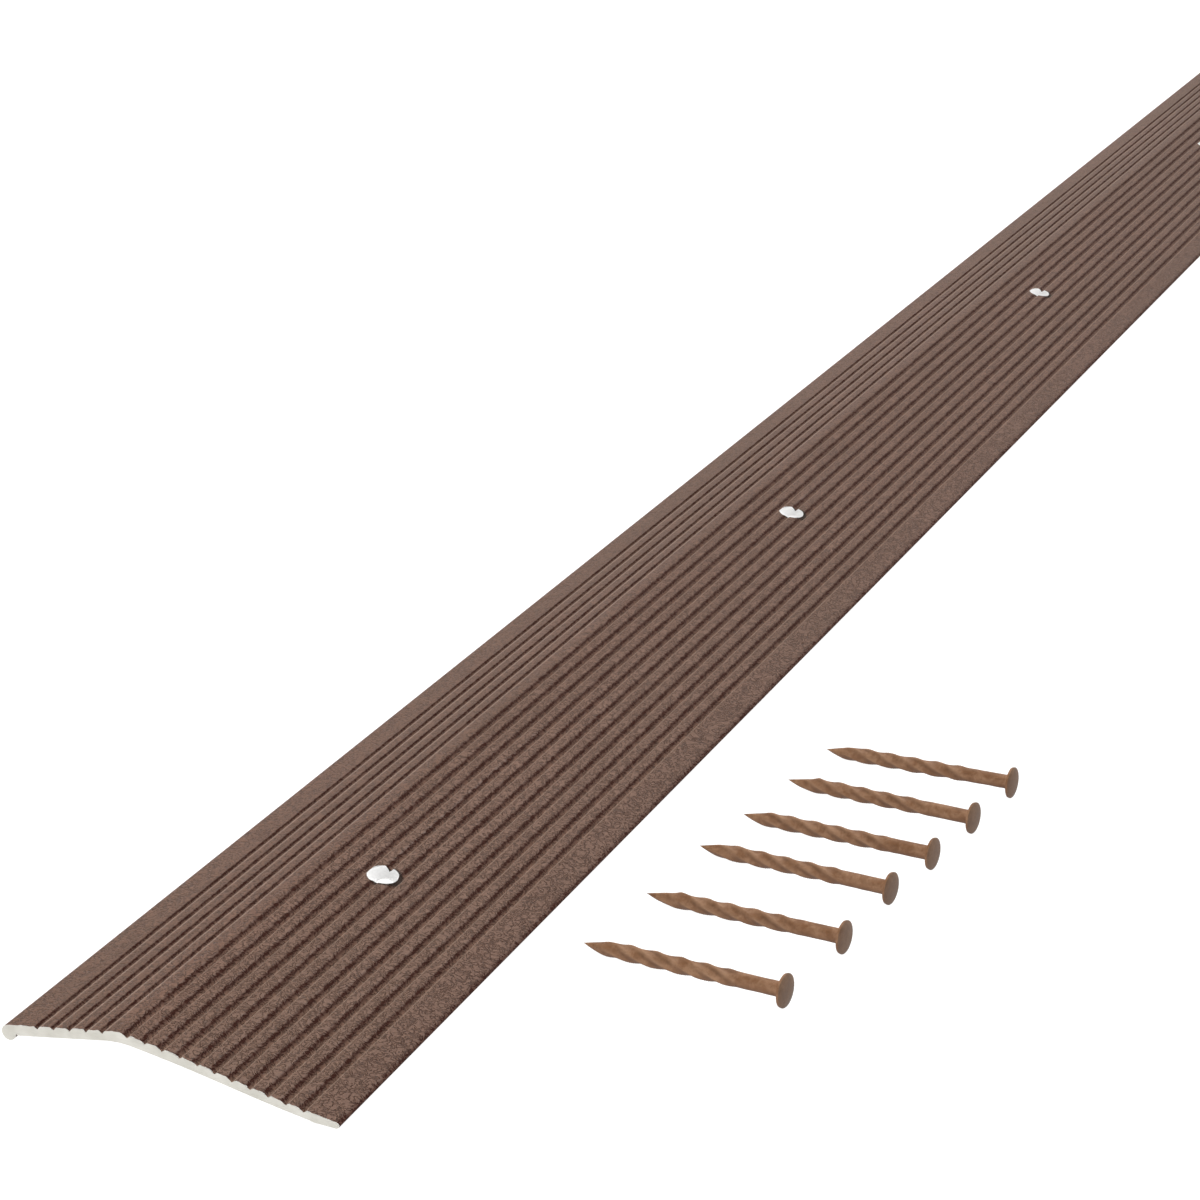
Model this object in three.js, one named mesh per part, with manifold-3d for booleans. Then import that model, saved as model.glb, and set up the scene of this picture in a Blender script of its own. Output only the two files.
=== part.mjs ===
// Carpet threshold bar: one fluted aluminium extrusion, 36 inches long and 2 inches wide,
// with the six twisted screw nails that fasten it lying loose beside it.
//
// Millimetres. +Z is up and the floor is Z = 0. +Y runs along the bar. +X runs across it,
// from the beaded edge, over the ridge, down to the foot and on to the nails.
// The origin is on the floor, at mid-length, in the middle of the foot's flat.

import * as THREE from "three";
import { mergeVertices } from "three/addons/utils/BufferGeometryUtils.js";
import Module from "manifold-3d";

const wasm = await Module();
wasm.setup();

const INCH = 25.4;
const RIGHT_ANGLE = Math.PI / 2;

// ---- Bar: distances across it are counted from the outside of the beaded edge ----
const BAR_LENGTH = 36 * INCH;
const BAR_WIDTH = 2 * INCH;
const WALL_AT_RIDGE = 1.46;
const WALL_AT_FOOT = 1.18;

const BEAD_RADIUS = 1.1;
const BEAD_STEPS = 12;
const BEAD_INNER_ANGLE = THREE.MathUtils.degToRad(-10);

const RIDGE_ACROSS = 18;
const RIDGE_HEIGHT = 5.7;
const RIDGE_ROUND_START = 17.2;
const RIDGE_ROUND_END = 18.9;
const RIDGE_INSIDE_HEIGHT = 4.2;
const RIDGE_STEPS = 4;

const SHORT_LEG_END_HEIGHT = 5.62;

const LONG_LEG_START = 19.2;
const LONG_LEG_START_HEIGHT = 5.6;
const LONG_LEG_END = 50.3;
const LONG_LEG_END_HEIGHT = 0.85;
const LONG_LEG_SWELL = 0.13;
const UNDERSIDE_STEPS = 9;

const FOOT_STEP_START = 46.4;
const FOOT_FLAT_START = 47.2;
const FOOT_FLAT_END = 50.2;
const FOOT_NOSE_HEIGHT = 0.42;
const FOOT_NOSE_TOP = 50.1;
const FOOT_NOSE_STEPS = 4;

// ---- Grooves: V-shaped, with walls this wide on the sides of the bead and of the foot ----
const GROOVE_DEPTH = 0.44;
const SHORT_LEG_GROOVES = { first: 5.68, pitch: 2.56, count: 5, beadWall: 0.48, footWall: 0.38 };
const LONG_LEG_GROOVES = { first: 19.68, pitch: 2.595, count: 11, beadWall: 0.62, footWall: 0.5 };

// ---- Nail holes: countersunk, on the fourth groove of the long leg ----
const HOLE_COUNT = 6;
const HOLE_END_DISTANCE = 54.3;
const HOLE_PITCH = (BAR_LENGTH - 2 * HOLE_END_DISTANCE) / (HOLE_COUNT - 1);
const HOLE_ACROSS = 27.8;
const SINK_RADIUS = 2.3;
const BORE_RADIUS = 1.3;
const HOLE_SEGMENTS = 32;

// ---- Screw nails: distances along one are counted from the top of its head ----
// LOBE_PITCH is the length in which a lobe goes once round the shank.
const NAIL_LENGTH = 1.25 * INCH;
const HEAD_RADIUS = 2.43;
const HEAD_DOME = 0.5;
const HEAD_DOME_STEPS = 2;
const HEAD_RIM = 0.38;
const HEAD_UNDERSIDE = 1.25;
const NECK_RADIUS = 1.15;
const NECK_END = 1.8;
const SHANK_RADIUS = 1.02;
const TWIST_START = 7;
const TWIST_RAMP = 1.6;
const TWIST_RADIUS = 1.0;
const LOBE_COUNT = 4;
const LOBE_HEIGHT = 0.16;
const LOBE_PITCH = 15.6;
const POINT_START = 26.9;
const POINT_KNEE = 29.2;
const POINT_KNEE_RADIUS = 0.72;
const POINT_SQUARENESS = 0.08;
const TIP_RADIUS = 0.09;
const NAIL_SIDES = 16;
const TWIST_STEPS = 16;

// Where the nails lie: the middle of each, across from the bar's beaded edge and along from
// its near end, then its turn on the floor and its roll about its own axis, in degrees.
const NAILS = [
  { across: 75.0, along: 53.2, turn: -4.4, roll: 10 },
  { across: 77.1, along: 70.3, turn: -4.1, roll: 55 },
  { across: 78.2, along: 86.9, turn: -5.3, roll: 35 },
  { across: 80.2, along: 99.5, turn: -4.6, roll: 0 },
  { across: 82.0, along: 113.4, turn: -5.2, roll: 70 },
  { across: 83.6, along: 126.9, turn: -2.9, roll: 25 },
];

const ORIGIN_ACROSS = (FOOT_FLAT_START + FOOT_FLAT_END) / 2;
const ORIGIN_ALONG = BAR_LENGTH / 2;

// ---------------------------------------------------------------- solids and joining

function solidOf(geometry) {
  const bare = geometry.clone();
  bare.deleteAttribute("normal");
  bare.deleteAttribute("uv");
  const merged = mergeVertices(bare, 1e-4);
  return new wasm.Manifold(new wasm.Mesh({
    numProp: 3,
    vertProperties: new Float32Array(merged.attributes.position.array),
    triVerts: new Uint32Array(merged.index.array),
  }));
}

function geometryOf(solid) {
  const mesh = solid.getMesh();
  const geometry = new THREE.BufferGeometry();
  geometry.setAttribute("position", new THREE.BufferAttribute(mesh.vertProperties, 3));
  geometry.setIndex(new THREE.BufferAttribute(mesh.triVerts, 1));
  geometry.computeVertexNormals();
  return geometry;
}

// A quadratic curve from start to end that passes through middle half-way.
function curveThrough(start, middle, end, steps) {
  const chordMiddle = start.clone().add(end).multiplyScalar(0.5);
  const control = middle.clone().multiplyScalar(2).sub(chordMiddle);
  return new THREE.QuadraticBezierCurve(start, control, end).getPoints(steps);
}

// ---------------------------------------------------------------- bar profile

// The short leg's top is the straight tangent from the bead up to the ridge.
function shortLegTangent() {
  const dx = RIDGE_ACROSS - BEAD_RADIUS;
  const dz = SHORT_LEG_END_HEIGHT - BEAD_RADIUS;
  const reach = Math.hypot(dx, dz);
  return Math.atan2(dz, dx) - Math.asin(BEAD_RADIUS / reach);
}

const SHORT_LEG_ANGLE = shortLegTangent();

function shortLegTop(across) {
  const lift = BEAD_RADIUS + BEAD_RADIUS / Math.cos(SHORT_LEG_ANGLE);
  return lift + Math.tan(SHORT_LEG_ANGLE) * (across - BEAD_RADIUS);
}

// The long leg falls in a gentle ogee: full near the ridge, hollow towards the foot.
function longLegTop(across) {
  const t = (across - LONG_LEG_START) / (LONG_LEG_END - LONG_LEG_START);
  const line = THREE.MathUtils.lerp(LONG_LEG_START_HEIGHT, LONG_LEG_END_HEIGHT, t);
  return line + LONG_LEG_SWELL * Math.sin(2 * Math.PI * t);
}

function beadPoints() {
  const start = RIGHT_ANGLE + SHORT_LEG_ANGLE;
  const end = 2 * Math.PI + BEAD_INNER_ANGLE;
  return Array.from({ length: BEAD_STEPS + 1 }, (_, i) => {
    const angle = THREE.MathUtils.lerp(start, end, i / BEAD_STEPS);
    return new THREE.Vector2(
      BEAD_RADIUS + BEAD_RADIUS * Math.cos(angle),
      BEAD_RADIUS + BEAD_RADIUS * Math.sin(angle),
    );
  });
}

// The wall thins towards the foot, which steps down to its flat on the floor.
function undersidePoints() {
  const points = [new THREE.Vector2(RIDGE_ACROSS, RIDGE_INSIDE_HEIGHT)];
  for (let i = 1; i <= UNDERSIDE_STEPS; i += 1) {
    const share = i / UNDERSIDE_STEPS;
    const across = THREE.MathUtils.lerp(RIDGE_ACROSS, FOOT_STEP_START, share);
    const wall = THREE.MathUtils.lerp(WALL_AT_RIDGE, WALL_AT_FOOT, share);
    points.push(new THREE.Vector2(across, longLegTop(across) - wall));
  }
  points.push(new THREE.Vector2(FOOT_FLAT_START, 0));
  return points;
}

function footNosePoints() {
  const flatEnd = new THREE.Vector2(FOOT_FLAT_END, 0);
  const foremost = new THREE.Vector2(BAR_WIDTH, FOOT_NOSE_HEIGHT);
  const top = new THREE.Vector2(FOOT_NOSE_TOP, longLegTop(FOOT_NOSE_TOP));
  return curveThrough(flatEnd, foremost, top, FOOT_NOSE_STEPS);
}

// Three points of each groove, from the foot side to the bead side.
function groovePoints({ first, pitch, count, beadWall, footWall }, topHeight) {
  const points = [];
  for (let i = count - 1; i >= 0; i -= 1) {
    const bottom = first + i * pitch;
    const footSide = bottom + footWall;
    const beadSide = bottom - beadWall;
    points.push(new THREE.Vector2(footSide, topHeight(footSide)));
    points.push(new THREE.Vector2(bottom, topHeight(bottom) - GROOVE_DEPTH));
    points.push(new THREE.Vector2(beadSide, topHeight(beadSide)));
  }
  return points;
}

function ridgePoints() {
  const longSide = new THREE.Vector2(RIDGE_ROUND_END, longLegTop(RIDGE_ROUND_END));
  const crown = new THREE.Vector2(RIDGE_ACROSS, RIDGE_HEIGHT);
  const shortSide = new THREE.Vector2(RIDGE_ROUND_START, shortLegTop(RIDGE_ROUND_START));
  return curveThrough(longSide, crown, shortSide, RIDGE_STEPS).slice(1);
}

function barProfile() {
  return new THREE.Shape([
    ...beadPoints(),
    ...undersidePoints(),
    ...footNosePoints(),
    ...groovePoints(LONG_LEG_GROOVES, longLegTop),
    ...ridgePoints(),
    ...groovePoints(SHORT_LEG_GROOVES, shortLegTop),
  ]);
}

// ---------------------------------------------------------------- bar

function holeCutter(along) {
  const top = longLegTop(HOLE_ACROSS);
  const sinkBottom = top - (SINK_RADIUS - BORE_RADIUS);
  const clear = 2;
  const profile = [
    new THREE.Vector2(0, -clear),
    new THREE.Vector2(BORE_RADIUS, -clear),
    new THREE.Vector2(BORE_RADIUS, sinkBottom),
    new THREE.Vector2(SINK_RADIUS + clear, top + clear),
    new THREE.Vector2(0, top + clear),
  ];
  const cutter = new THREE.LatheGeometry(profile, HOLE_SEGMENTS);
  cutter.rotateX(RIGHT_ANGLE);
  cutter.translate(HOLE_ACROSS, along, 0);
  return solidOf(cutter);
}

function thresholdBar() {
  const blank = new THREE.ExtrudeGeometry(barProfile(), {
    depth: BAR_LENGTH,
    steps: 1,
    bevelEnabled: false,
  });
  blank.rotateX(RIGHT_ANGLE);
  blank.translate(0, BAR_LENGTH, 0);
  let solid = solidOf(blank);
  for (let i = 0; i < HOLE_COUNT; i += 1) {
    solid = solid.subtract(holeCutter(HOLE_END_DISTANCE + i * HOLE_PITCH));
  }
  const material = new THREE.MeshStandardMaterial({
    color: 0x725a4d,
    roughness: 0.5,
    metalness: 0.25,
  });
  const bar = new THREE.Mesh(geometryOf(solid), material);
  bar.name = "threshold_bar";
  bar.position.set(-ORIGIN_ACROSS, -ORIGIN_ALONG, 0);
  return bar;
}

// ---------------------------------------------------------------- screw nails

// Stations down a nail: distance from the head's top, mean radius and height of the lobes.
function nailStations() {
  const stations = [];
  for (let i = 1; i <= HEAD_DOME_STEPS; i += 1) {
    const share = i / HEAD_DOME_STEPS;
    stations.push({ at: HEAD_DOME * share ** 2, radius: HEAD_RADIUS * share, lobe: 0 });
  }
  stations.push({ at: HEAD_DOME + HEAD_RIM, radius: HEAD_RADIUS, lobe: 0 });
  stations.push({ at: HEAD_UNDERSIDE, radius: NECK_RADIUS, lobe: 0 });
  stations.push({ at: NECK_END, radius: SHANK_RADIUS, lobe: 0 });
  for (let i = 0; i <= TWIST_STEPS; i += 1) {
    const at = THREE.MathUtils.lerp(TWIST_START, POINT_START, i / TWIST_STEPS);
    const ramp = Math.min(1, (at - TWIST_START) / TWIST_RAMP);
    stations.push({ at, radius: TWIST_RADIUS, lobe: LOBE_HEIGHT * ramp });
  }
  stations.push({ at: POINT_KNEE, radius: POINT_KNEE_RADIUS, lobe: POINT_SQUARENESS });
  stations.push({ at: NAIL_LENGTH, radius: TIP_RADIUS, lobe: 0 });
  return stations;
}

// The nail's axis is X, its head is at the high end, and its lobes wind right-handed.
function nailGeometry() {
  const stations = nailStations();
  const positions = [0, 0, 0];
  const triangles = [];
  const ringStart = (ring) => 1 + ring * NAIL_SIDES;
  for (const { at, radius, lobe } of stations) {
    const turned = (-2 * Math.PI * (at - TWIST_START)) / LOBE_PITCH;
    for (let k = 0; k < NAIL_SIDES; k += 1) {
      const angle = (2 * Math.PI * k) / NAIL_SIDES + turned;
      const r = radius + lobe * Math.cos((2 * Math.PI * k * LOBE_COUNT) / NAIL_SIDES);
      positions.push(-at, r * Math.cos(angle), r * Math.sin(angle));
    }
  }
  positions.push(-NAIL_LENGTH, 0, 0);
  const tip = ringStart(stations.length);
  for (let k = 0; k < NAIL_SIDES; k += 1) {
    const next = (k + 1) % NAIL_SIDES;
    triangles.push(0, ringStart(0) + k, ringStart(0) + next);
    for (let ring = 0; ring < stations.length - 1; ring += 1) {
      const a = ringStart(ring) + k;
      const b = ringStart(ring) + next;
      const c = ringStart(ring + 1) + k;
      const d = ringStart(ring + 1) + next;
      triangles.push(a, c, b);
      triangles.push(b, c, d);
    }
    triangles.push(tip, ringStart(stations.length - 1) + next, ringStart(stations.length - 1) + k);
  }
  const geometry = new THREE.BufferGeometry();
  geometry.setAttribute("position", new THREE.Float32BufferAttribute(positions, 3));
  geometry.setIndex(triangles);
  geometry.translate(NAIL_LENGTH / 2, 0, 0);
  geometry.computeVertexNormals();
  return geometry;
}

// A nail lies on the rim of its head and on its shank just behind the point.
function nailTilt() {
  const rimAt = HEAD_DOME + HEAD_RIM / 2;
  const drop = HEAD_RADIUS - TWIST_RADIUS - LOBE_HEIGHT;
  return Math.atan2(drop, POINT_START - rimAt);
}

function screwNail(number, { across, along, turn, roll }) {
  const material = new THREE.MeshStandardMaterial({
    color: 0x8a6951,
    roughness: 0.65,
    metalness: 0.15,
  });
  const geometry = nailGeometry();
  geometry.rotateX(THREE.MathUtils.degToRad(roll));
  geometry.rotateY(-nailTilt());
  geometry.rotateZ(THREE.MathUtils.degToRad(turn));
  geometry.computeBoundingBox();
  const nail = new THREE.Mesh(geometry, material);
  nail.name = `screw_nail_${number}`;
  nail.position.set(across - ORIGIN_ACROSS, along - ORIGIN_ALONG, -geometry.boundingBox.min.z);
  return nail;
}

// ---------------------------------------------------------------- assembly

const threshold = new THREE.Group();
threshold.add(thresholdBar());
NAILS.forEach((place, i) => threshold.add(screwNail(i + 1, place)));

export default threshold;
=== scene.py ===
"""A fluted brown threshold bar and its six loose screw nails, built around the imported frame."""
import math
from collections import namedtuple

import bmesh
import bpy
from mathutils import Matrix, Vector, noise


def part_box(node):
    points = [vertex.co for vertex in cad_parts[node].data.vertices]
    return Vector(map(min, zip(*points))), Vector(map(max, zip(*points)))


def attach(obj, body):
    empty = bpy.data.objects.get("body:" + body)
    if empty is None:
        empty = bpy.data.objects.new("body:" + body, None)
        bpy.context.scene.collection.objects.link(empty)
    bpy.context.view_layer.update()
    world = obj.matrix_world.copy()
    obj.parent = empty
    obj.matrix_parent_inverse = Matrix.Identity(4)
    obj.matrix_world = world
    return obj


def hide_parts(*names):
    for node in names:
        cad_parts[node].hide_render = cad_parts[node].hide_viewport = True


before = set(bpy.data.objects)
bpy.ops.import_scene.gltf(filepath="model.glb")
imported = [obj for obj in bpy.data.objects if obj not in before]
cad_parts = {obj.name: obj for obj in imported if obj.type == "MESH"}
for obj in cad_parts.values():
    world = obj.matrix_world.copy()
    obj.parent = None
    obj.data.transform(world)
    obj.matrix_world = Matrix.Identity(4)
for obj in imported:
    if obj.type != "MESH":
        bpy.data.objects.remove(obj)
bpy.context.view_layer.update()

MM = 0.001
BAR = "threshold_bar"
BAR_LOW, BAR_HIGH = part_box(BAR)

# ---- Bar section, in millimetres across from the beaded edge and up from the floor ----
BAR_WIDTH = 50.8
WALL_AT_RIDGE = 1.46
WALL_AT_FOOT = 1.18
BEAD_RADIUS = 1.1
BEAD_STEPS = 40
BEAD_INNER_ANGLE = math.radians(6)
BEAD_PAINT_END = math.radians(285)
POCKET_PAINT_START = math.radians(330)
POCKET_LIP = (2.52, 1.0)
POCKET_TOP = 1.35
SHORT_LEG_AIM = (18.0, 5.62)
LONG_LEG_START = (19.2, 5.6)
LONG_LEG_END = (50.3, 0.85)
LONG_LEG_SWELL = 0.13
RIDGE_SOFTNESS = 0.22
RIDGE_INSIDE = (18.0, 4.2)
INSIDE_SOFTNESS = 0.7
FOOT_STEP_START = 46.4
FOOT_FLAT = (47.2, 50.2)
FOOT_NOSE = (50.1, 0.42)

# ---- Grooves: the walls are the widths of each V's two sides, and the shoulder is how softly
# the land rolls over into the bead-side wall. Shade is a painted shade band, by its distance
# from the groove's bottom and how it fades towards the land and the bottom. The highlight is a
# painted bright line along the other edge, by its distance from the bottom ----
Flutes = namedtuple("Flutes", "bottoms bead_wall foot_wall shoulder shade land_fade bottom_fade crest")
SHORT_LEG = Flutes(bottoms=[5.68 + 2.56 * i for i in range(5)], bead_wall=0.48, foot_wall=0.38,
                   shoulder=0.10, shade=-0.38, land_fade=0.20, bottom_fade=0.20, crest=0.42)
LONG_LEG = Flutes(bottoms=[19.68 + 2.595 * i for i in range(11)], bead_wall=0.56, foot_wall=0.50,
                  shoulder=0.40, shade=-0.50, land_fade=0.37, bottom_fade=0.27, crest=0.25)
GROOVE_DEPTH = 0.46
CREST_WIDTH = 0.20
CORNER_SOFTNESS = 0.09
BOTTOM_SOFTNESS = 0.10
GROOVE_HALF_PITCH = 1.29
GROOVE_OFFSETS = [-1.26, -1.14, -1.03, -0.94, -0.86, -0.78, -0.71, -0.64, -0.57, -0.51, -0.45,
                  -0.39, -0.33, -0.26, -0.19, -0.12, -0.06, 0.0, 0.06, 0.12, 0.20, 0.28, 0.33,
                  0.37, 0.41, 0.45, 0.49, 0.54, 0.60, 0.70, 0.86, 1.06]

# ---- Painted shade on the paint elsewhere: the foot beyond the last groove, its nose, and the
# outside of the bead ----
FOOT_SHADE = 0.22
FOOT_SHADE_START = 46.5
NOSE_SHADE = 0.7
NOSE_START = 50.0
BEAD_SHADE = 0.5
BEAD_SHADE_END = 0.3

# ---- Paint chipped off by the saw, the most that it reaches back from the ends ----
CHIP_REACH = 0.25

# ---- Nail holes ----
HOLE_COUNT = 6
HOLE_END_DISTANCE = 54.3
HOLE_ACROSS = 27.8
SINK_RADIUS = 2.3
BORE_RADIUS = 1.3
HOLE_SEGMENTS = 72
HOLE_PITCH = ((BAR_HIGH.y - BAR_LOW.y) / MM - 2 * HOLE_END_DISTANCE) / (HOLE_COUNT - 1)
# RIM_SHADE is how far the painted shadow round each hole reaches past the countersink.
RIM_SHADE = 0.32
SINK_FLARE = 0.35
SINK_FLARE_RISE = 0.2

# ---- Screw nails, in millimetres down from the top of the head. Painted shade darkens the paint
# where its normal's Z is below UNDER_START, darkest at UNDER_REACH below that, and on the flank
# just below each twisted corner, FLANK_SHIFT radians from the middle of the hollow ----
NAIL_LENGTH = 31.75
HEAD_RADIUS = 2.43
HEAD_DOME = 0.5
HEAD_RIM = 0.38
RIM_TAPER = 0.10
HEAD_UNDERSIDE = 1.25
NECK_RADIUS = 1.2
NECK_END = 1.8
SHANK_RADIUS = 1.08
TWIST_START = 7.0
TWIST_RAMP = 2.6
LOBE_RADIUS = 1.25
HOLLOW_DEPTH = 0.23
HOLLOW_SHAPE = 0.7
LOBE_PITCH = 15.6
POINT_START = 26.5
POINT_SAG = 0.14
COAT_LUMPS = 0.03
UNDER_START = 0.35
UNDER_REACH = 1.05
FLANK_SHIFT = 0.35
NAIL_SIDES = 64
NAIL_STEP = 0.16
NAIL_TURNS = [-4.4, -4.1, -5.3, -4.6, -5.2, -2.9]
NAIL_ROLLS = [10, 55, 35, 0, 70, 25]

# ---- Camera: place from the bar's near beaded corner in millimetres, angles in degrees ----
CAMERA_OFFSET = (208.8, -269.1, 202.05)
CAMERA_HEADING = -24.53
CAMERA_DIP = 22.71
CAMERA_ROLL = -0.51
CAMERA_LENS = 87.37
SENSOR_WIDTH = 36.0

# ---- Lights: the direction that each is in, its energy, and its width in degrees ----
KEY_SUN = ((0.0, 0.5, 0.866), 2.55, 22)
FILL_SUN = ((-0.25, -0.95, 0.14), 0.9, 30)
FLOOR_HALF = 6.0


# ------------------------------------------------------------------ small helpers

def smooth_min(a, b, k):
    """The lower of a and b, with their corner rounded over a height of about k."""
    h = max(k - abs(a - b), 0.0) / k
    return min(a, b) - h * h * k / 4


def smooth_max(a, b, k):
    return -smooth_min(-a, -b, k)


def lerp(a, b, t):
    return a + (b - a) * t


def steps(start, end, size):
    """Evenly spaced values after start and before end, about size apart."""
    count = max(int(round((end - start) / size)), 1)
    return [lerp(start, end, i / count) for i in range(1, count)]


def hole_centre(hole):
    """The floor point under a nail hole, in metres."""
    along = HOLE_END_DISTANCE + hole * HOLE_PITCH
    return Vector((BAR_LOW.x + HOLE_ACROSS * MM, BAR_LOW.y + along * MM, 0))


def new_object(name, mesh):
    piece = bpy.data.objects.new(name, mesh)
    bpy.context.scene.collection.objects.link(piece)
    return piece


def smooth_by_angle(mesh, degrees):
    for polygon in mesh.polygons:
        polygon.use_smooth = True
    mesh.set_sharp_from_angle(angle=math.radians(degrees))


# ------------------------------------------------------------------ materials

class Nodes:
    """A short way to write a node tree: each call adds one node and returns an output."""

    def __init__(self, name):
        self.material = bpy.data.materials.new(name)
        self.material.use_nodes = True
        self.tree = self.material.node_tree
        self.shader = self.tree.nodes["Principled BSDF"]

    def add(self, kind, inputs=None, **settings):
        node = self.tree.nodes.new(kind)
        for key, value in settings.items():
            setattr(node, key, value)
        for key, value in (inputs or {}).items():
            self.put(node.inputs[key], value)
        return node

    def put(self, socket, value):
        if isinstance(value, bpy.types.NodeSocket):
            self.tree.links.new(value, socket)
        else:
            socket.default_value = value

    def place(self, stretch=(1, 1, 1)):
        """Object coordinates in metres, squeezed along each axis by stretch."""
        coords = self.add("ShaderNodeTexCoord").outputs["Object"]
        return self.add("ShaderNodeMapping", {"Vector": coords, "Scale": stretch}).outputs[0]

    def noise(self, vector, scale, detail=2.0, roughness=0.5, distortion=0.0):
        return self.add("ShaderNodeTexNoise", {
            "Vector": vector, "Scale": scale, "Detail": detail,
            "Roughness": roughness, "Distortion": distortion}).outputs["Fac"]

    def span(self, value, low, high, out_low=0.0, out_high=1.0):
        return self.add("ShaderNodeMapRange", {
            "Value": value, "From Min": low, "From Max": high,
            "To Min": out_low, "To Max": out_high}).outputs[0]

    def mix(self, factor, a, b, blend="MIX"):
        node = self.add("ShaderNodeMix", data_type="RGBA", blend_type=blend)
        self.put(node.inputs[0], factor)
        self.put(node.inputs[6], a)
        self.put(node.inputs[7], b)
        return node.outputs[2]

    def maths(self, operation, a, b=0.0):
        node = self.add("ShaderNodeMath", operation=operation)
        self.put(node.inputs[0], a)
        self.put(node.inputs[1], b)
        return node.outputs[0]

    def attribute(self, name, scale=1.0):
        """A number written on the mesh's points, times scale."""
        value = self.add("ShaderNodeAttribute", attribute_name=name).outputs["Fac"]
        return self.maths("MULTIPLY", value, scale)

    def end_chips(self):
        """1 where the saw chipped the paint off the bar's two end edges, otherwise 0."""
        coords = self.add("ShaderNodeTexCoord").outputs["Object"]
        along = self.add("ShaderNodeSeparateXYZ", {"Vector": coords}).outputs["Y"]
        to_end = self.maths("SUBTRACT", BAR_HIGH.y, self.maths("ABSOLUTE", along))
        ragged = self.span(self.noise(coords, 900, detail=3.0), 0.35, 0.7, 0.0, CHIP_REACH * MM)
        return self.maths("LESS_THAN", to_end, ragged)

    def hole_rim_shadows(self):
        """Painted shadow: 1 on the paint right round each nail hole, fading to 0 just outside it."""
        coords = self.add("ShaderNodeTexCoord").outputs["Object"]
        split = self.add("ShaderNodeSeparateXYZ", {"Vector": coords})
        across = self.maths("SUBTRACT", split.outputs["X"], hole_centre(0).x)
        from_first = self.maths("SUBTRACT", split.outputs["Y"], hole_centre(0).y)
        half = HOLE_PITCH * MM / 2
        along = self.add("ShaderNodeMath", {0: from_first, 1: half, 2: -half}, operation="WRAP")
        away = self.maths("SQRT", self.maths("ADD", self.maths("MULTIPLY", across, across),
                                             self.maths("MULTIPLY", along.outputs[0], along.outputs[0])))
        return self.span(away, (SINK_RADIUS + 0.06) * MM, (SINK_RADIUS + RIM_SHADE) * MM, 0.9, 0.0)

    def bump(self, height, distance, strength=1.0, normal=None):
        node = self.add("ShaderNodeBump", {
            "Height": height, "Distance": distance, "Strength": strength})
        if normal is not None:
            self.put(node.inputs["Normal"], normal)
        return node.outputs[0]

    def finish(self, **sockets):
        for key, value in sockets.items():
            self.put(self.shader.inputs[key.replace("_", " ")], value)
        return self.material


def rgb(red, green, blue):
    return (red, green, blue, 1.0)


def hammered_paint():
    """Baked brown paint with a wrinkled grain, painted shade in the grooves, painted highlights on crests.
    """
    n = Nodes("hammered_brown_paint")
    here = n.place()
    swirl = n.noise(here, 980, detail=1.5, distortion=1.3)
    wrinkle = n.span(n.maths("ABSOLUTE", n.maths("SUBTRACT", swirl, 0.5)), 0.01, 0.075)
    grain = n.noise(here, 3300, detail=2.0)
    cloud = n.noise(n.place((1, 0.2, 1)), 60, detail=3.0)
    colour = n.mix(wrinkle, rgb(0.075, 0.036, 0.023), rgb(0.192, 0.101, 0.068))
    colour = n.mix(n.span(grain, 0.45, 0.70, 0.0, 0.72), colour, rgb(0.32, 0.190, 0.132))
    colour = n.mix(n.span(cloud, 0.35, 0.7, 0.0, 0.35), colour, rgb(0.150, 0.087, 0.055))
    ragged = n.maths("SUBTRACT", 1.5, n.maths("MULTIPLY", wrinkle, 0.65))
    # Painted shade: dark bands in the grooves, the foot, its nose, the bead's edge and its pocket.
    shade = n.span(n.maths("MULTIPLY", n.attribute("groove"), ragged), 0.12, 0.95, 0.0, 0.94)
    colour = n.mix(shade, colour, rgb(0.040, 0.006, 0.001))
    # Painted highlight along each groove's bright edge.
    highlight_mask = n.maths("MULTIPLY", n.attribute("crest"), n.span(grain, 0.3, 0.6, 0.62, 1.0))
    colour = n.mix(highlight_mask, colour, rgb(0.44, 0.305, 0.235))
    # Painted shadow round each nail hole's rim.
    colour = n.mix(n.hole_rim_shadows(), colour, rgb(0.030, 0.017, 0.012))
    colour = n.mix(n.end_chips(), colour, rgb(0.72, 0.70, 0.66))
    relief = n.bump(wrinkle, 0.00010, 1.0)
    relief = n.bump(grain, 0.00004, 0.7, relief)
    gloss = n.maths("MAXIMUM", n.span(grain, 0.3, 0.7, 0.45, 0.62), n.maths("MULTIPLY", shade, 0.95))
    return n.finish(Base_Color=colour, Roughness=gloss, Specular_IOR_Level=0.22, Normal=relief)


def sawn_aluminium():
    """Bare sawn metal, with fine blade marks across the section."""
    n = Nodes("sawn_aluminium")
    marks = n.noise(n.place((1, 1, 9)), 700, detail=3.0)
    dull = n.noise(n.place(), 380, detail=2.0)
    colour = n.mix(n.span(dull, 0.3, 0.7), rgb(0.58, 0.56, 0.50), rgb(0.70, 0.68, 0.62))
    colour = n.mix(n.span(marks, 0.55, 0.75, 0.0, 0.35), colour, rgb(0.48, 0.46, 0.42))
    relief = n.bump(marks, 0.00002, 0.5)
    gloss = n.span(marks, 0.3, 0.7, 0.42, 0.6)
    return n.finish(Base_Color=colour, Roughness=gloss, Metallic=0.25, Normal=relief)


def punched_aluminium():
    """Bright metal inside the countersunk holes, with fine turning rings."""
    n = Nodes("punched_aluminium")
    rings = n.noise(n.place((0.2, 0.2, 1)), 5200, detail=1.0)
    colour = n.mix(n.span(rings, 0.35, 0.65), rgb(0.965, 0.96, 0.95), rgb(1.0, 0.995, 0.985))
    relief = n.bump(rings, 0.00002, 0.4)
    return n.finish(Base_Color=colour, Roughness=0.45, Metallic=0.0, Normal=relief)


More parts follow.
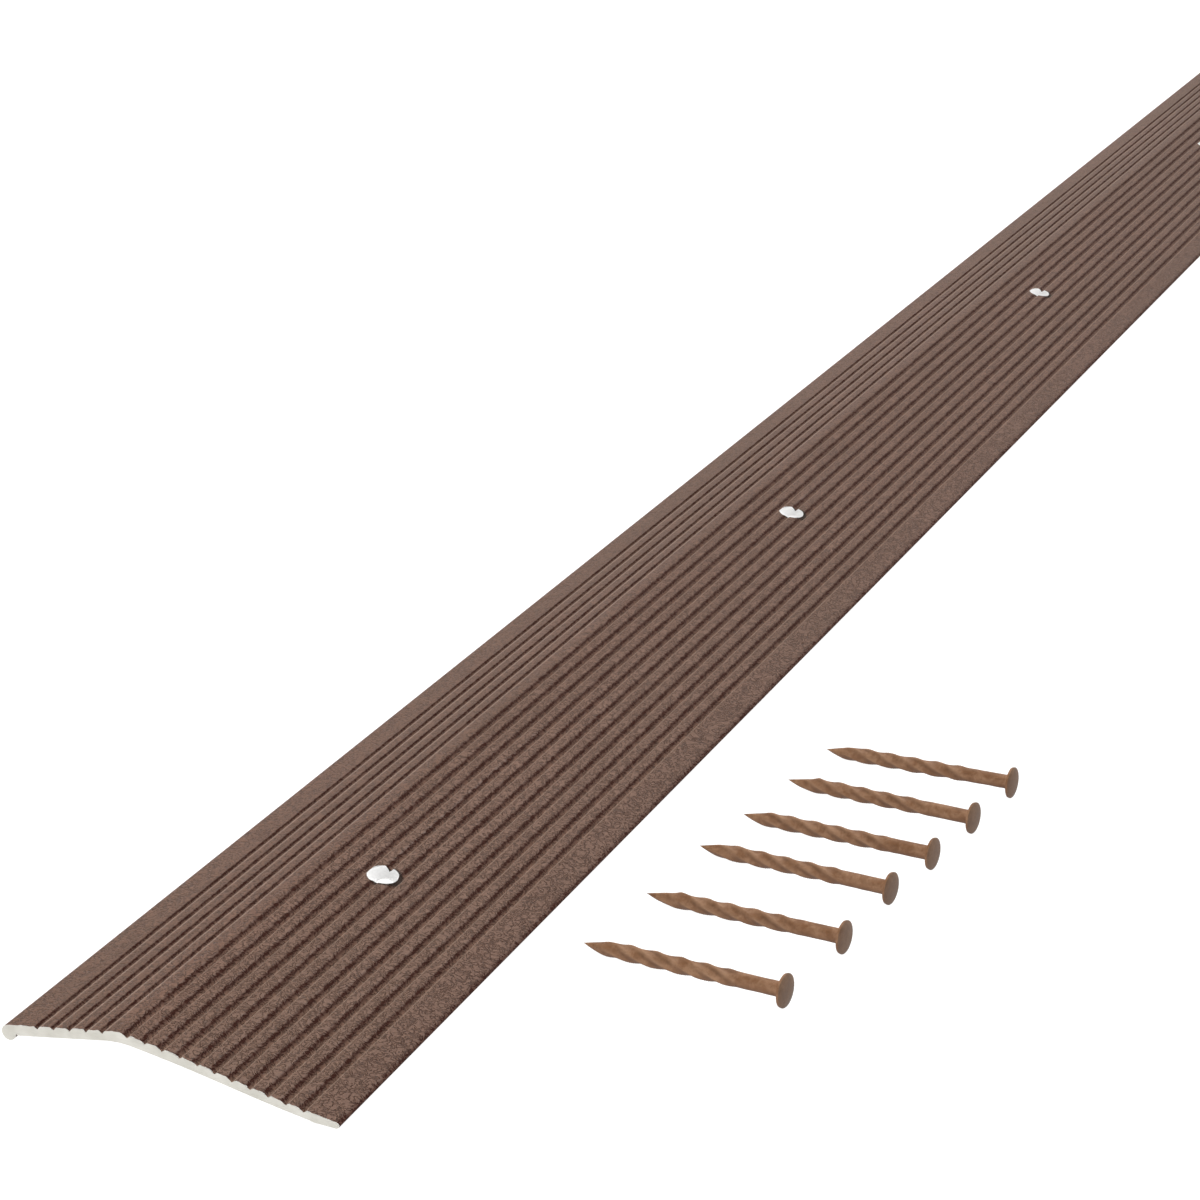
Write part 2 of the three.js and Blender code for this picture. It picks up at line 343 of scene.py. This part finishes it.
def mill_aluminium():
    """The unpainted underside, with drawn die lines along the bar and brown overspray."""
    n = Nodes("mill_aluminium")
    lines = n.noise(n.place((1, 0.006, 1)), 2400, detail=3.0)
    spray = n.noise(n.place(), 300, detail=4.0)
    colour = n.mix(n.span(lines, 0.3, 0.7), rgb(0.60, 0.59, 0.57), rgb(0.80, 0.79, 0.77))
    colour = n.mix(n.span(spray, 0.52, 0.75, 0.0, 0.45), colour, rgb(0.20, 0.13, 0.10))
    relief = n.bump(lines, 0.00003, 0.6)
    return n.finish(Base_Color=colour, Roughness=n.span(spray, 0.3, 0.7, 0.32, 0.55),
                    Metallic=0.9, Normal=relief)


def nail_paint():
    """Matt brown paint over steel, blotched darker, darker and greyer on the head's dome; painted shade
    underneath and on the twist's flanks, painted highlights along its corners.
    """
    n = Nodes("nail_brown_paint")
    here = n.place()
    patches = n.noise(here, 620, detail=3.5, distortion=0.6)
    blots = n.noise(here, 330, detail=4.0, roughness=0.65)
    grain = n.noise(here, 2400, detail=2.0)
    colour = n.mix(n.span(patches, 0.38, 0.62), rgb(0.255, 0.120, 0.055), rgb(0.385, 0.212, 0.118))
    colour = n.mix(n.span(blots, 0.52, 0.70, 0.0, 0.45), colour, rgb(0.165, 0.076, 0.034))
    colour = n.mix(n.span(grain, 0.5, 0.75, 0.0, 0.40), colour, rgb(0.170, 0.080, 0.038))
    blot_strength = n.span(blots, 0.38, 0.60, 0.25, 1.0)
    # Painted shade on the flank below each twisted corner, broken up by the blots.
    colour = n.mix(n.maths("MULTIPLY", n.attribute("hollow", 0.70), blot_strength), colour, rgb(0.110, 0.045, 0.018))
    # Painted highlight along each twisted corner, broken up by the blots.
    colour = n.mix(n.maths("MULTIPLY", n.attribute("corner", 0.75), blot_strength), colour, rgb(0.500, 0.295, 0.175))
    # Painted shade on the nail's undersides.
    colour = n.mix(n.attribute("underside_shade", 0.88), colour, rgb(0.080, 0.032, 0.013))
    colour = n.mix(n.attribute("dome", 0.62), colour, rgb(0.120, 0.083, 0.062))
    relief = n.bump(grain, 0.00005, 0.7)
    relief = n.bump(patches, 0.00008, 0.6, relief)
    return n.finish(Base_Color=colour, Roughness=n.span(patches, 0.3, 0.7, 0.55, 0.72),
                    Specular_IOR_Level=0.25, Normal=relief)


# ------------------------------------------------------------------ bar section

def short_leg_angle():
    """Slope of the line from SHORT_LEG_AIM that just touches the top of the bead."""
    dx = SHORT_LEG_AIM[0] - BEAD_RADIUS
    dz = SHORT_LEG_AIM[1] - BEAD_RADIUS
    return math.atan2(dz, dx) - math.asin(BEAD_RADIUS / math.hypot(dx, dz))


SHORT_LEG_ANGLE = short_leg_angle()


def short_leg_top(across):
    lift = BEAD_RADIUS + BEAD_RADIUS / math.cos(SHORT_LEG_ANGLE)
    return lift + math.tan(SHORT_LEG_ANGLE) * (across - BEAD_RADIUS)


def long_leg_top(across):
    t = (across - LONG_LEG_START[0]) / (LONG_LEG_END[0] - LONG_LEG_START[0])
    swell = LONG_LEG_SWELL * math.sin(2 * math.pi * t)
    return lerp(LONG_LEG_START[1], LONG_LEG_END[1], t) + swell


def nearest_groove(across):
    """The leg that the nearest groove is on, and the distance from its bottom towards the foot."""
    leg = SHORT_LEG if across < RIDGE_INSIDE[0] else LONG_LEG
    bottom = min(leg.bottoms, key=lambda place: abs(across - place))
    return leg, across - bottom


def groove_cut(across):
    """How far the fluting lies below the plain top at this distance across."""
    leg, offset = nearest_groove(across)
    if abs(offset) > GROOVE_HALF_PITCH:
        return 0.0
    bead_side = -offset * GROOVE_DEPTH / leg.bead_wall
    foot_side = offset * GROOVE_DEPTH / leg.foot_wall
    wall = smooth_max(bead_side, foot_side, BOTTOM_SOFTNESS) - GROOVE_DEPTH
    return smooth_min(wall, 0.0, leg.shoulder if offset < 0 else CORNER_SOFTNESS)


def top_height(across):
    plain = smooth_min(short_leg_top(across), long_leg_top(across), RIDGE_SOFTNESS)
    return plain + groove_cut(across)


def underside_height(across):
    rise = (RIDGE_INSIDE[1] - POCKET_LIP[1]) / (RIDGE_INSIDE[0] - POCKET_LIP[0])
    short = POCKET_LIP[1] + rise * (across - POCKET_LIP[0])
    share = (across - RIDGE_INSIDE[0]) / (FOOT_STEP_START - RIDGE_INSIDE[0])
    long = long_leg_top(across) - lerp(WALL_AT_RIDGE, WALL_AT_FOOT, share)
    step = (FOOT_FLAT[0] - across) / (FOOT_FLAT[0] - FOOT_STEP_START)
    return smooth_min(short, long, INSIDE_SOFTNESS) * min(max(step, 0.0), 1.0)


def top_stations():
    """Distances across where the top is sampled, from the foot back to the bead."""
    marks = []
    for leg in (SHORT_LEG, LONG_LEG):
        for bottom in leg.bottoms:
            marks += [bottom + offset for offset in GROOVE_OFFSETS]
    start, end = GROOVE_OFFSETS[0], GROOVE_OFFSETS[-1]
    bead_touch = BEAD_RADIUS * (1 - math.sin(SHORT_LEG_ANGLE))
    marks += steps(bead_touch, SHORT_LEG.bottoms[0] + start, 0.5)
    marks += steps(SHORT_LEG.bottoms[-1] + end, LONG_LEG.bottoms[0] + start, 0.08)
    marks += steps(LONG_LEG.bottoms[-1] + end, FOOT_NOSE[0], 0.4)
    return sorted(marks, reverse=True)


def foot_nose_points():
    """Two quarter ellipses, from the floor round the nose and up to the top."""
    points = []
    centre_x, centre_z = FOOT_NOSE
    for i in range(9):
        angle = math.radians(lerp(-90, 0, i / 8))
        reach = BAR_WIDTH - FOOT_FLAT[1]
        points.append((FOOT_FLAT[1] + reach * math.cos(angle), centre_z * (1 + math.sin(angle))))
    for i in range(1, 10):
        angle = math.radians(lerp(0, 90, i / 9))
        reach = BAR_WIDTH - centre_x
        rise = long_leg_top(centre_x) - centre_z
        points.append((centre_x + reach * math.cos(angle), centre_z + rise * math.sin(angle)))
    return points


def bar_outline():
    """The closed section as (across, height, is_painted) points, anticlockwise."""
    outline = []
    start = math.pi / 2 + SHORT_LEG_ANGLE
    end = 2 * math.pi + BEAD_INNER_ANGLE
    for i in range(BEAD_STEPS + 1):
        angle = lerp(start, end, i / BEAD_STEPS)
        painted = angle < BEAD_PAINT_END or angle > POCKET_PAINT_START
        outline.append((BEAD_RADIUS + BEAD_RADIUS * math.cos(angle),
                        BEAD_RADIUS + BEAD_RADIUS * math.sin(angle), painted))
    outline.append((*POCKET_LIP, False))
    for across in steps(POCKET_LIP[0], FOOT_FLAT[0], 0.4):
        outline.append((across, underside_height(across), False))
    outline.append((FOOT_FLAT[0], 0.0, False))
    outline += [(x, z, True) for x, z in foot_nose_points()]
    outline += [(across, top_height(across), True) for across in top_stations()]
    return outline


# ------------------------------------------------------------------ bar

PAINTED, SAWN, MILL, PUNCHED = range(4)


def bar_blank(outline, materials):
    """The extruded section before its holes are cut, as an object."""
    bm = bmesh.new()
    rings = []
    for along in (BAR_LOW.y, BAR_HIGH.y):
        ring = []
        for across, height, _ in outline:
            x = min(max(BAR_LOW.x + across * MM, BAR_LOW.x), BAR_HIGH.x)
            z = min(max(BAR_LOW.z + height * MM, BAR_LOW.z), BAR_HIGH.z)
            ring.append(bm.verts.new((x, along, z)))
        rings.append(ring)
    near, far = rings
    count = len(outline)
    for i in range(count):
        j = (i + 1) % count
        face = bm.faces.new((near[i], near[j], far[j], far[i]))
        face.material_index = PAINTED if outline[i][2] else MILL
    for ring in (near, list(reversed(far))):
        bm.faces.new(ring).material_index = SAWN
    bmesh.ops.recalc_face_normals(bm, faces=bm.faces)
    mesh = bpy.data.meshes.new("bar")
    bm.to_mesh(mesh)
    bm.free()
    for material in materials:
        mesh.materials.append(material)
    return new_object("bar", mesh)


def hole_cutter(materials):
    """All the countersunk holes as one tool."""
    bm = bmesh.new()
    top = long_leg_top(HOLE_ACROSS)
    sink_bottom = top - (SINK_RADIUS - BORE_RADIUS)
    clear = 2.0
    mouth = SINK_RADIUS + SINK_FLARE
    profile = [(BORE_RADIUS, -clear), (BORE_RADIUS, sink_bottom), (SINK_RADIUS, top),
               (mouth, top + SINK_FLARE_RISE), (mouth, top + clear)]
    for hole in range(HOLE_COUNT):
        centre = hole_centre(hole)
        rings = []
        for radius, height in profile:
            ring = []
            for k in range(HOLE_SEGMENTS):
                angle = 2 * math.pi * k / HOLE_SEGMENTS
                spoke = Vector((radius * math.cos(angle), radius * math.sin(angle), height))
                ring.append(bm.verts.new(centre + spoke * MM))
            rings.append(ring)
        for low, high in zip(rings, rings[1:]):
            for k in range(HOLE_SEGMENTS):
                m = (k + 1) % HOLE_SEGMENTS
                bm.faces.new((low[k], low[m], high[m], high[k]))
        bm.faces.new(list(reversed(rings[0])))
        bm.faces.new(rings[-1])
    for face in bm.faces:
        face.material_index = PUNCHED
    mesh = bpy.data.meshes.new("hole_cutter")
    bm.to_mesh(mesh)
    bm.free()
    for material in materials:
        mesh.materials.append(material)
    return new_object("hole_cutter", mesh)


def edge_shade(across, height):
    """How much painted shade darkens the foot, its nose, the outside of the bead and the bead's pocket."""
    shade = FOOT_SHADE if across > FOOT_SHADE_START else 0.0
    shade += min(max((across - NOSE_START) / (BAR_WIDTH - NOSE_START), 0.0), 1.0) * NOSE_SHADE
    if across < BEAD_SHADE_END:
        shade += BEAD_SHADE
    if BEAD_RADIUS < across < POCKET_LIP[0] and height < POCKET_TOP:
        shade = 1.0
    return shade


def paint_groove_shade_and_highlights(mesh):
    """Write on each point its painted shade, and how near it lies to a groove's painted highlight."""
    shade = mesh.attributes.new("groove", "FLOAT", "POINT")
    crest = mesh.attributes.new("crest", "FLOAT", "POINT")
    for i, vertex in enumerate(mesh.vertices):
        across = (vertex.co.x - BAR_LOW.x) / MM
        leg, offset = nearest_groove(across)
        fade = leg.land_fade if offset < leg.shade else leg.bottom_fade
        dark = math.exp(-((offset - leg.shade) / fade) ** 2)
        shade.data[i].value = dark + edge_shade(across, vertex.co.z / MM)
        crest.data[i].value = math.exp(-((offset - leg.crest) / CREST_WIDTH) ** 2)


def make_bar():
    materials = [hammered_paint(), sawn_aluminium(), mill_aluminium(), punched_aluminium()]
    bar = bar_blank(bar_outline(), materials)
    cutter = hole_cutter(materials)
    cut = bar.modifiers.new("holes", "BOOLEAN")
    cut.operation = "DIFFERENCE"
    cut.solver = "EXACT"
    cut.object = cutter
    cut_bar = bar.evaluated_get(bpy.context.evaluated_depsgraph_get())
    mesh = bpy.data.meshes.new_from_object(cut_bar)
    bar.modifiers.clear()
    bar.data = mesh
    bpy.data.objects.remove(cutter)
    smooth_by_angle(mesh, 32)
    paint_groove_shade_and_highlights(mesh)
    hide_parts(BAR)
    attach(bar, "bar")
    return bar


# ------------------------------------------------------------------ screw nails

def nail_radius(at):
    """Plain outer radius of a nail at this distance from the top of its head."""
    rim_end = HEAD_DOME + HEAD_RIM
    if at < HEAD_DOME:
        rise = 1 - at / HEAD_DOME
        return HEAD_RADIUS * math.sqrt(max(1 - rise * rise, 0.0))
    if at < rim_end:
        t = (at - HEAD_DOME) / HEAD_RIM
        return HEAD_RADIUS - RIM_TAPER * t * t
    if at < HEAD_UNDERSIDE:
        t = (at - rim_end) / (HEAD_UNDERSIDE - rim_end)
        return lerp(HEAD_RADIUS - RIM_TAPER, NECK_RADIUS, t ** 0.6)
    if at < NECK_END:
        t = (at - HEAD_UNDERSIDE) / (NECK_END - HEAD_UNDERSIDE)
        return lerp(NECK_RADIUS, SHANK_RADIUS, 1 - (1 - t) ** 2)
    return SHANK_RADIUS * max(1 - point_share(at) ** 1.7, 0.03)


def point_share(at):
    """0 up to where the point starts, rising to 1 at the tip."""
    return max((at - POINT_START) / (NAIL_LENGTH - POINT_START), 0.0)


def twist_share(at):
    """How far the square twist is formed: it grows in below the plain neck, fades at the point."""
    grown = min(max((at - TWIST_START) / TWIST_RAMP, 0.0), 1.0)
    return grown * (1 - min(1.6 * point_share(at), 1.0))


def hollow(at, angle):
    """0 on each of the four twisted corners, 1 in the middle of the hollow between two."""
    turned = angle + 2 * math.pi * (at - TWIST_START) / LOBE_PITCH
    return abs(math.sin(2 * turned)) ** HOLLOW_SHAPE


def nail_section(at, angle):
    """Radius of a nail in one direction: a twisted square, and squarish at the point."""
    cornered = (LOBE_RADIUS - HOLLOW_DEPTH * hollow(at, angle)) / SHANK_RADIUS
    square = (abs(math.cos(angle)) ** 3 + abs(math.sin(angle)) ** 3) ** (-1 / 3)
    radius = nail_radius(at) * lerp(1.0, cornered, twist_share(at))
    return radius * lerp(1.0, 0.93 * square, min(2 * point_share(at), 1.0))


def nail_stations():
    rim_end = HEAD_DOME + HEAD_RIM
    marks = [HEAD_DOME * (1 - math.cos(math.radians(90 * i / 12))) for i in range(1, 13)]
    marks += [lerp(HEAD_DOME, rim_end, t) for t in (0.25, 0.6, 0.85, 1.0)]
    marks += [lerp(rim_end, HEAD_UNDERSIDE, t) for t in (0.05, 0.15, 0.3, 0.5, 0.75, 1.0)]
    marks += [lerp(HEAD_UNDERSIDE, NECK_END, t) for t in (0.2, 0.4, 0.7, 1.0)]
    marks += steps(NECK_END, NAIL_LENGTH, NAIL_STEP) + [NAIL_LENGTH - 0.02]
    return marks


def nail_mesh(number, material):
    """A nail along X with its head at the high end, already rolled as it lies."""
    bm = bmesh.new()
    flank_shade_mark = bm.verts.layers.float.new("hollow")
    corner_highlight_mark = bm.verts.layers.float.new("corner")
    dome_mark = bm.verts.layers.float.new("dome")
    roll = math.radians(NAIL_ROLLS[number - 1])
    rings = []
    for at in nail_stations():
        sag = POINT_SAG * math.sin(math.pi * point_share(at))
        ring = []
        for k in range(NAIL_SIDES):
            angle = 2 * math.pi * k / NAIL_SIDES
            spoke = Vector((0, math.cos(angle), math.sin(angle)))
            centre = Vector((NAIL_LENGTH / 2 - at, 0, -sag))
            r = nail_section(at, angle - roll)
            lumps = noise.noise((centre + spoke * r) * 0.8 + Vector((0, 0, 20.0 * number)))
            r *= 1 + COAT_LUMPS * lumps * min(at / NECK_END, 1.0)
            vertex = bm.verts.new((centre + spoke * r) * MM)
            # Painted shade on the flank just below each twisted corner.
            vertex[flank_shade_mark] = twist_share(at) * hollow(at, angle - roll + FLANK_SHIFT) ** 5
            # Painted highlight along each twisted corner.
            vertex[corner_highlight_mark] = twist_share(at) * (1 - hollow(at, angle - roll))
            vertex[dome_mark] = 1.0 if at <= HEAD_DOME else 0.0
            ring.append(vertex)
        rings.append(ring)
    crown = bm.verts.new((NAIL_LENGTH / 2 * MM, 0, 0))
    crown[dome_mark] = 1.0
    tip = bm.verts.new((-NAIL_LENGTH / 2 * MM, 0, 0))
    for k in range(NAIL_SIDES):
        m = (k + 1) % NAIL_SIDES
        bm.faces.new((crown, rings[0][k], rings[0][m]))
        bm.faces.new((tip, rings[-1][m], rings[-1][k]))
        for a, b in zip(rings, rings[1:]):
            bm.faces.new((a[k], b[k], b[m], a[m]))
    bmesh.ops.recalc_face_normals(bm, faces=bm.faces)
    mesh = bpy.data.meshes.new(f"nail_{number}")
    bm.to_mesh(mesh)
    bm.free()
    paint_underside_shade(mesh)
    mesh.materials.append(material)
    smooth_by_angle(mesh, 50)
    return mesh


def paint_underside_shade(mesh):
    """Painted shade: write on each of a nail's points how far it faces down, 0 to 1."""
    underside_shade = mesh.attributes.new("underside_shade", "FLOAT", "POINT")
    for i, vertex in enumerate(mesh.vertices):
        underside_shade.data[i].value = min(max((UNDER_START - vertex.normal.z) / UNDER_REACH, 0.0), 1.0)


def make_nail(number, material):
    """A nail lies on its head's rim and its shank, with its head where the CAD node's is."""
    node = f"screw_nail_{number}"
    low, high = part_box(node)
    mesh = nail_mesh(number, material)
    tilt = math.atan2(HEAD_RADIUS - LOBE_RADIUS, POINT_START - HEAD_DOME - HEAD_RIM / 2)
    lean = Matrix.Rotation(-tilt, 4, "Y")
    turn = Matrix.Rotation(math.radians(NAIL_TURNS[number - 1]), 4, "Z")
    mesh.transform(turn @ lean)
    corners = [v.co for v in mesh.vertices]
    own_low = Vector([min(c[i] for c in corners) for i in range(3)])
    own_high = Vector([max(c[i] for c in corners) for i in range(3)])
    move = Vector((high.x - own_high.x, low.y - own_low.y, low.z - own_low.z))
    mesh.transform(Matrix.Translation(move))
    nail = new_object(f"nail_{number}", mesh)
    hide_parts(node)
    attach(nail, f"nail_{number}")
    return nail


# ------------------------------------------------------------------ stage, light, camera

def make_floor():
    n = Nodes("white_floor")
    n.finish(Base_Color=rgb(0.2, 0.2, 0.2), Roughness=0.9, Emission_Color=rgb(1, 1, 1),
             Emission_Strength=1.0)
    mesh = bpy.data.meshes.new("floor")
    half = FLOOR_HALF
    mesh.from_pydata([(-half, -half, 0), (half, -half, 0), (half, half, 0), (-half, half, 0)],
                     [], [(0, 1, 2, 3)])
    mesh.materials.append(n.material)
    floor = new_object("floor", mesh)
    floor.location.z = BAR_LOW.z - 0.02 * MM


def make_world():
    """A soft white surround: bright along the horizon and dimmer overhead."""
    world = bpy.data.worlds.new("studio")
    bpy.context.scene.world = world
    world.use_nodes = True
    tree = world.node_tree
    coords = tree.nodes.new("ShaderNodeTexCoord")
    split = tree.nodes.new("ShaderNodeSeparateXYZ")
    ramp = tree.nodes.new("ShaderNodeValToRGB")
    tree.links.new(coords.outputs["Generated"], split.inputs[0])
    tree.links.new(split.outputs["Z"], ramp.inputs[0])
    ramp.color_ramp.elements[0].position = 0.06
    ramp.color_ramp.elements[0].color = rgb(1, 1, 1)
    ramp.color_ramp.elements[1].position = 0.22
    ramp.color_ramp.elements[1].color = rgb(0.15, 0.15, 0.15)
    tree.links.new(ramp.outputs[0], tree.nodes["Background"].inputs[0])
    tree.nodes["Background"].inputs[1].default_value = 1.5


def make_sun(name, toward, energy, spread):
    """A broad soft light from the direction toward, spread degrees wide."""
    data = bpy.data.lights.new(name, "SUN")
    data.energy = energy
    data.angle = math.radians(spread)
    sun = bpy.data.objects.new(name, data)
    sun.rotation_mode = "QUATERNION"
    sun.rotation_quaternion = Vector(toward).to_track_quat("Z", "Y")
    bpy.context.scene.collection.objects.link(sun)


def make_camera():
    data = bpy.data.cameras.new("camera")
    data.sensor_width = SENSOR_WIDTH
    data.lens = CAMERA_LENS
    data.clip_start = 0.01
    data.clip_end = 30
    camera = bpy.data.objects.new("camera", data)
    corner = Vector((BAR_LOW.x, BAR_LOW.y, BAR_LOW.z))
    camera.location = corner + Vector(CAMERA_OFFSET) * MM
    heading = math.radians(CAMERA_HEADING)
    dip = math.radians(CAMERA_DIP)
    look = Vector((math.sin(heading) * math.cos(dip), math.cos(heading) * math.cos(dip),
                   -math.sin(dip)))
    level = Vector((math.cos(heading), -math.sin(heading), 0))
    down = look.cross(level)
    roll = math.radians(CAMERA_ROLL)
    right = level * math.cos(roll) + down * math.sin(roll)
    below = down * math.cos(roll) - level * math.sin(roll)
    axes = Matrix((right, -below, -look)).transposed()
    camera.rotation_mode = "QUATERNION"
    camera.rotation_quaternion = axes.to_quaternion()
    bpy.context.scene.collection.objects.link(camera)
    bpy.context.scene.camera = camera


make_camera()
make_bar()
nail_finish = nail_paint()
for number in range(1, len(NAIL_ROLLS) + 1):
    make_nail(number, nail_finish)
make_floor()
make_world()
make_sun("key", *KEY_SUN)
make_sun("fill", *FILL_SUN)
bpy.context.scene.view_settings.view_transform = "Standard"
